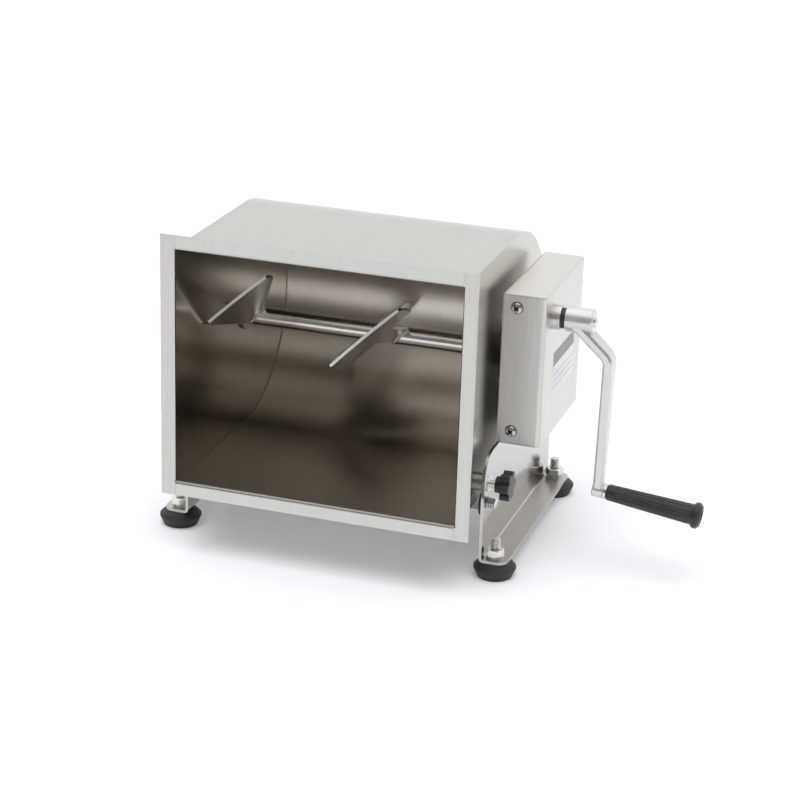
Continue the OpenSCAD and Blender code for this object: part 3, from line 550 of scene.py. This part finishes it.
def cross_head(place, axis, radius, height, shank, length):
    """A pan-head screw with a cross recess: slot 0 is the head, slot 1 the recess, in painted
    shade.
    """
    def dome(share):
        """The head's height at a share of its radius."""
        return height * (1 - share ** 4) ** 0.5

    first, second = across(axis)
    place, axis = Vector(place), Vector(axis).normalized()
    sides, steps = 64, 22
    # The cross: half the length and half the width of its arms, how they widen towards the
    # middle, its depth, and the widths of its sloping sides and ends
    reach, width, flare, depth, slope, tip = 2.9, 0.75, 0.12, 1.9, 0.25, 0.5
    turns = [2 * math.pi * k / sides for k in range(sides)]
    loops = [[place + axis * -length + (first * math.cos(t) + second * math.sin(t)) * shank
              for t in turns]]
    loops.append([point + axis * (length - 0.1) for point in loops[0]])
    for i in range(steps + 1):
        share = 1 - i / steps
        out = radius * share
        top = dome(share)
        loop = []
        for turn in turns:
            x, y = out * math.cos(turn), out * math.sin(turn)
            near, far = sorted((abs(x), abs(y)))
            edge = min(max((width + flare * (reach - far) - near) / slope, 0), 1)
            end = min(max((reach - far) / tip, 0), 1)
            drop = depth * edge * end
            loop.append(place + axis * (top - drop) + first * x + second * y)
        loops.append(loop)
    points, faces, _ = skin(loops)
    slots = []
    for face in faces:
        middle = sum((points[i] for i in face), Vector()) / len(face) - place
        rise = middle.dot(axis)
        share = min((middle - axis * rise).length / radius, 1)
        sunk = 0 < rise < dome(share) - 0.6
        # Painted shade: faces sunk in the cross take the dark recess material
        slots.append(1 if share < 0.6 and sunk else 0)
    return points, faces, slots


# Place of each paddle along the shaft, its angle up from the front, and its pitch
PADDLES = [(-221.82, 18.5, 45), (-117.32, 198.5, -45), (-59.32, 18.5, 45), (45.18, 198.5, -45)]
WELD_HALF = 10.9     # half the length of a bead
WELD_SIDE = 1.9      # from the middle of the paddle's sheet to the bead
WELD_OUT = 10.2      # from the shaft's axis to the bead
WELD_STEPS = 55


def paddle_welds():
    """Weld beads on both faces of each paddle, where it stands on the shaft."""
    parts = []
    for x, angle, pitch in PADDLES:
        ca, sa = math.cos(math.radians(angle)), math.sin(math.radians(angle))
        cp, sp = math.cos(math.radians(pitch)), math.sin(math.radians(pitch))
        for side in (-WELD_SIDE, WELD_SIDE):
            path = []
            for k in range(WELD_STEPS + 1):
                w = -WELD_HALF + 2 * WELD_HALF * k / WELD_STEPS
                up = w * sp + side * cp
                out = math.sqrt(max(WELD_OUT ** 2 - up ** 2, 0.5))
                path.append((x + w * cp - side * sp, AXIS_Y - out * ca + up * sa,
                             AXIS_Z + out * sa + up * ca))
            parts.append(tube(path, radius=1.5, ripple=0.16, pitch=2.3))
    new_piece("paddle_welds", parts, ["weld"], "mixer", angle=60)


TUB_R = 123.5        # inside of the tub's round bottom
SEAM_IN = 0.25       # from the sheets' faces to the middle of a seam
MOUTH_IN = 1.2       # from the rim's face to the start of a seam


def tub_seams():
    """The fine seams inside the tub, where the ends meet the wrapper."""
    low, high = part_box("tub_wrapper")
    radius = TUB_R - SEAM_IN
    mouth = low.y / MM + MOUTH_IN
    straight = [mouth + (AXIS_Y - mouth) * k / 30 for k in range(30)]
    turns = [math.pi * k / 60 for k in range(61)]
    path = [(y, AXIS_Z + radius) for y in straight]
    path += [(AXIS_Y + radius * math.sin(t), AXIS_Z + radius * math.cos(t)) for t in turns]
    path += [(y, AXIS_Z - radius) for y in reversed(straight)]
    parts = []
    for x in (low.x / MM + SEAM_IN, high.x / MM - SEAM_IN):
        seam = [(x, y, z) for y, z in path]
        parts.append(tube(seam, radius=0.6, ripple=0.08, pitch=3.0, sides=8))
    new_piece("tub_seams", parts, ["joint"], "tub", angle=60)


RIM_STRIPS = ((327.4, 340.7), (63.3, 76.6))    # heights of the upper and the lower rim strip
RIM_SINK = 0.28                                # from the rim's face to the middle of a seam


def rim_seams():
    """Ground weld lines across the rim, where its strips meet."""
    low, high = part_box("tub_wrapper")
    y = low.y / MM + RIM_SINK
    steps = 12
    parts = []
    for x in (low.x / MM, high.x / MM):
        for z0, z1 in RIM_STRIPS:
            path = [(x + 0.12 * math.sin(k * 2.1), y, z0 + (z1 - z0) * k / steps)
                    for k in range(steps + 1)]
            parts.append(tube(path, radius=0.32, ripple=0.2, pitch=2.0, sides=8))
    new_piece("rim_seams", parts, ["seam"], "tub", angle=60)


# Radius, pitch and depth of the threads, the nuts' width across flats and how each nut is turned
STUD_THREAD = (5.0, 1.5, 0.85)
BOLT_THREAD = (6.0, 1.75, 1.0)
NUT_FLATS = 17.0
NUT_TURNS = (12, 22, 5, 40)
# Distance along the plunger and radius: two grooves between chamfered ends
PLUNGER = [(0, 3.2), (0.8, 4), (7.3, 4), (7.5, 3.5), (8.3, 3.5), (8.5, 4), (9.7, 4), (9.9, 3.5),
           (10.7, 3.5), (10.9, 4), (22.4, 4), (23, 3.4)]


def screw_threads():
    """Threads on the feet's studs and the stop bolt, nuts with turned-down corners, and a turned
    neck on the plunger."""
    low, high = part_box("foot_studs")
    stud_foot, stud_long = low.z / MM, (high.z - low.z) / MM
    low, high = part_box("foot_nuts")
    nut_foot, nut_high = low.z / MM, (high.z - low.z) / MM
    studs, nuts = [], []
    for node, turn in zip(FEET, NUT_TURNS):
        x, y, _ = middle_of(node)
        studs.append(threaded((x, y, stud_foot), (0, 0, 1), stud_long, *STUD_THREAD))
        nuts.append(hexagon((x, y, nut_foot), NUT_FLATS, nut_high, STUD_THREAD[0], turn))
    new_piece("foot_stud_threads", studs, ["zinc", "groove"], "frame", "foot_studs", angle=50)
    new_piece("foot_hex_nuts", nuts, ["zinc"], "frame", "foot_nuts", angle=25)
    low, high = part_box("stop_bolt")
    _, y, z = middle_of("stop_bolt")
    bolt = threaded((low.x / MM, y, z), (1, 0, 0), (high.x - low.x) / MM, *BOLT_THREAD)
    new_piece("stop_bolt_thread", [bolt], ["zinc", "groove"], "frame", "stop_bolt", angle=50)
    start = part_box("plunger_pin")[0].x / MM
    _, y, z = middle_of("plunger_pin")
    pin = turned((start, y, z), (1, 0, 0), PLUNGER)
    new_piece("plunger_neck", [pin], ["zinc"], "lock", "plunger_pin")


# Distance along the crank's hub and boss, and radius
HUB = [(0, 8), (0, 12.3), (0.7, 13), (26.8, 13), (28.6, 11.2), (28.6, 8)]
GRIP_BOSS = [(0, 4), (0, 7), (1, 8), (11, 8), (12, 7), (12, 4)]
# The bar's start and bend: how far out from the hub's start, and how far below the crank's axis
BAR_TOP, BAR_BEND = (21.6, 13), (46.6, 36)
BAR_TURN = 14.0                      # radius of the bend
BAR_THICK, BAR_CUT = 5.0, 2.3        # half the bar's thickness, and its chamfers


def bar_path(start, z0):
    """Places and directions along the middle of the crank's bar, in X and Z."""
    foot = Vector((GRIP.x / MM, GRIP.z / MM))
    top, bend = (Vector((start + out, z0 - drop)) for out, drop in (BAR_TOP, BAR_BEND))
    first, last = (bend - top).normalized(), (foot - bend).normalized()
    turn = first.angle(last)
    begin = bend - first * BAR_TURN * math.tan(turn / 2)
    centre = begin + Vector((first.y, -first.x)) * BAR_TURN
    path = [(top + first * k, first) for k in (-14, -6, 0)]
    steps = 10
    for k in range(steps + 1):
        angle = math.atan2(first.y, first.x) - turn * k / steps
        way = Vector((math.cos(angle), math.sin(angle)))
        path.append((centre + Vector((-way.y, way.x)) * BAR_TURN, way))
    return path + [(bend.lerp(foot, share), last) for share in (0.25, 0.5, 0.75, 0.97, 1.0)]


def crank_lever():
    """The crank: a turned hub, a tapered bar with broad chamfers and one bend, and a boss."""
    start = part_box("crank_arm")[0].x / MM
    y0, z0 = CRANK.y / MM, CRANK.z / MM
    hub = turned((start, y0, z0), (1, 0, 0), HUB, sides=64, ring=True)
    thick, cut = BAR_THICK, BAR_CUT
    loops = []
    for at, way in bar_path(start, z0):
        half = (14 + 11 * (at.y - z0 + 180) / 190) / 2    # half the width: 25 at the hub, 14 below
        side = Vector((-way.y, way.x))
        corners = [(half, thick - cut), (half - cut, thick), (cut - half, thick),
                   (-half, thick - cut), (-half, cut - thick), (cut - half, -thick),
                   (half - cut, -thick), (half, cut - thick)]
        loops.append([(at.x + side.x * v, y0 + u, at.y + side.y * v) for u, v in corners])
    boss = turned(GRIP / MM - GRIP_DIR * 6, GRIP_DIR, GRIP_BOSS, ring=True)
    new_piece("crank_lever", [hub, skin(loops), boss], ["satin"], "crank", "crank_arm", angle=28)


# The cover's screws: radius and height of the head, radius and length of the shank
HEAD_R, HEAD_HIGH, SHANK_R, SHANK_LONG = 6.0, 3.6, 2.4, 4.5
HEAD_SHADOW_RING = [(-0.2, 6.4), (0.2, 6.4), (0.3, 6.1)]    # a painted shadow line round the head


def cover_screws():
    """Pan-head screws with cross recesses, in place of the cover's plain ones, each with a painted
    shadow ring round its head.
    """
    low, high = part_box("cover_screws")
    face_low, face_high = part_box("gearbox_cover")
    x = (low.x + high.x) / 2 / MM
    parts = []
    for y, way in ((face_low.y / MM, -1), (face_high.y / MM, 1)):
        for z in (low.z / MM + HEAD_R, high.z / MM - HEAD_R):
            parts.append(cross_head((x, y, z), (0, way, 0), HEAD_R, HEAD_HIGH, SHANK_R, SHANK_LONG))
            # Painted shadow: a thin dark ring round each head
            parts.append(turned((x, y, z), (0, way, 0), HEAD_SHADOW_RING, slot=1))
    new_piece("cover_screw_heads", parts, ["screw", "recess"], "frame", "cover_screws", angle=40)


LABEL = (-20.0, 65.0, 174.0, 222.0)    # Y from and to, Z from and to
LABEL_MARGIN, BAND_HIGH = 1.2, 16      # round the grey band, and its depth from the label's top
RULES, RULE_MARGIN, RULE_HIGH = (7, 14, 21), 5, 0.6


def label():
    """A blank plate on the cover: a grey band, a pale field and plain ruled lines."""
    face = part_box("gearbox_cover")[1].x / MM
    y0, y1, z0, z1 = LABEL
    band = rounded(y0 + LABEL_MARGIN, y1 - LABEL_MARGIN, z1 - BAND_HIGH, z1 - LABEL_MARGIN, 0.8)
    parts = [slab(rounded(*LABEL, 1.5), face - 0.1, face + 0.15, 0),
             slab(band, face, face + 0.22, 1)]
    for rise in RULES:
        z = z0 + rise
        rule = rounded(y0 + RULE_MARGIN, y1 - RULE_MARGIN, z, z + RULE_HIGH, 0.25)
        parts.append(slab(rule, face, face + 0.2, 1))
    new_piece("blank_label", parts, ["label", "label_band"], "frame")


# The studio. Zones are given by the part of a direction along Y or Z, or along the leaning light
FLOOR_X, FLOOR_Y = (-7, 7), (-2.6, 8)
FLOOR_LIFT = 0.2                   # share of plain white in the floor, as it is seen
WORLD = {
    "back": (-0.30, 0.20),         # Y: from the dim room to the white studio
    "above": (0.66, 0.94),         # Z: from the walls to the lamp
    "steep": (0.80, 0.97),         # along the light: from the fill to the lamp, for lighting
    "lean": 11,                    # degrees: the light comes from a little to the front
    "dark": (0.22, 0.207, 0.19),
    "white": (1, 1, 1),
    "lamp": (1.25, 1.25, 1.25),
    "fill": (0.42, 0.42, 0.43),
    "down": (4.4, 4.4, 4.4),
}


def seen_ray(tree):
    """1 for what the camera sees, directly or in metal, and 0 for rays that gather light."""
    path = tree.nodes.new("ShaderNodeLightPath")
    mirrored = value(tree, "MAXIMUM", path.outputs["Is Glossy Ray"],
                     path.outputs["Is Transmission Ray"])
    return value(tree, "MAXIMUM", path.outputs["Is Camera Ray"], mirrored)


def add_floor():
    """A pale table top under and round the machine."""
    (x0, x1), (y0, y1) = FLOOR_X, FLOOR_Y
    corners = [(x0, y0, 0), (x1, y0, 0), (x1, y1, 0), (x0, y1, 0)]
    mesh = bpy.data.meshes.new("floor")
    mesh.from_pydata(corners, [], [(0, 1, 2, 3)])
    floor = bpy.data.objects.new("floor", mesh)
    bpy.context.scene.collection.objects.link(floor)
    mat, tree, bsdf = new_material("floor")
    bsdf.inputs["Base Color"].default_value = (0.93, 0.942, 0.97, 1)
    bsdf.inputs["Roughness"].default_value = 0.8
    bsdf.inputs["Specular IOR Level"].default_value = 0.2
    white = add(tree, "ShaderNodeEmission", Strength=1.0)
    both = tree.nodes.new("ShaderNodeMixShader")
    tree.links.new(value(tree, "MULTIPLY", seen_ray(tree), FLOOR_LIFT), both.inputs[0])
    tree.links.new(bsdf.outputs[0], both.inputs[1])
    tree.links.new(white.outputs[0], both.inputs[2])
    tree.links.new(both.outputs[0], tree.nodes["Material Output"].inputs["Surface"])
    dress(floor, mat)


def zone(tree, source, low, high):
    """0 below low, 1 above high, and smooth between."""
    node = add(tree, "ShaderNodeMapRange", interpolation_type="SMOOTHSTEP",
               **{"From Min": low, "From Max": high})
    tree.links.new(source, node.inputs["Value"])
    return node.outputs["Result"]


def add_world():
    """A white studio behind, a soft light above and a dim warm room in front, as metal mirrors
    them. The camera itself sees plain white, and the light on the forms has its own fill and
    lamp."""
    world = bpy.data.worlds.new("studio")
    bpy.context.scene.world = world
    world.use_nodes = True
    tree = world.node_tree
    coord = tree.nodes.new("ShaderNodeTexCoord")
    parts = tree.nodes.new("ShaderNodeSeparateXYZ")
    tree.links.new(coord.outputs["Generated"], parts.inputs[0])
    behind = zone(tree, parts.outputs["Y"], *WORLD["back"])
    above = zone(tree, parts.outputs["Z"], *WORLD["above"])
    seen = mix_colour(tree, behind, WORLD["dark"], WORLD["white"])
    seen = mix_colour(tree, above, seen, WORLD["lamp"])
    path = tree.nodes.new("ShaderNodeLightPath")
    seen = mix_colour(tree, path.outputs["Is Camera Ray"], seen, WORLD["white"])
    lean = math.radians(WORLD["lean"])
    facing = value(tree, "SUBTRACT", value(tree, "MULTIPLY", parts.outputs["Z"], math.cos(lean)),
                   value(tree, "MULTIPLY", parts.outputs["Y"], math.sin(lean)))
    steep = zone(tree, facing, *WORLD["steep"])
    light = mix_colour(tree, steep, WORLD["fill"], WORLD["down"])
    back = tree.nodes["Background"]
    tree.links.new(mix_colour(tree, seen_ray(tree), light, seen), back.inputs["Color"])
    back.inputs["Strength"].default_value = 1.0


tub_low, tub_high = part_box("tub_wrapper")
paint_shade_in_wrapper(tub_low)
paint_end_shade_and_tint(tub_low, tub_high)
tint_flange()
stain_paddles()
dress_cad()
paddle_welds()
tub_seams()
rim_seams()
screw_threads()
cover_screws()
crank_lever()
label()
add_camera()
add_floor()
add_world()
bpy.context.scene.view_settings.view_transform = "Standard"
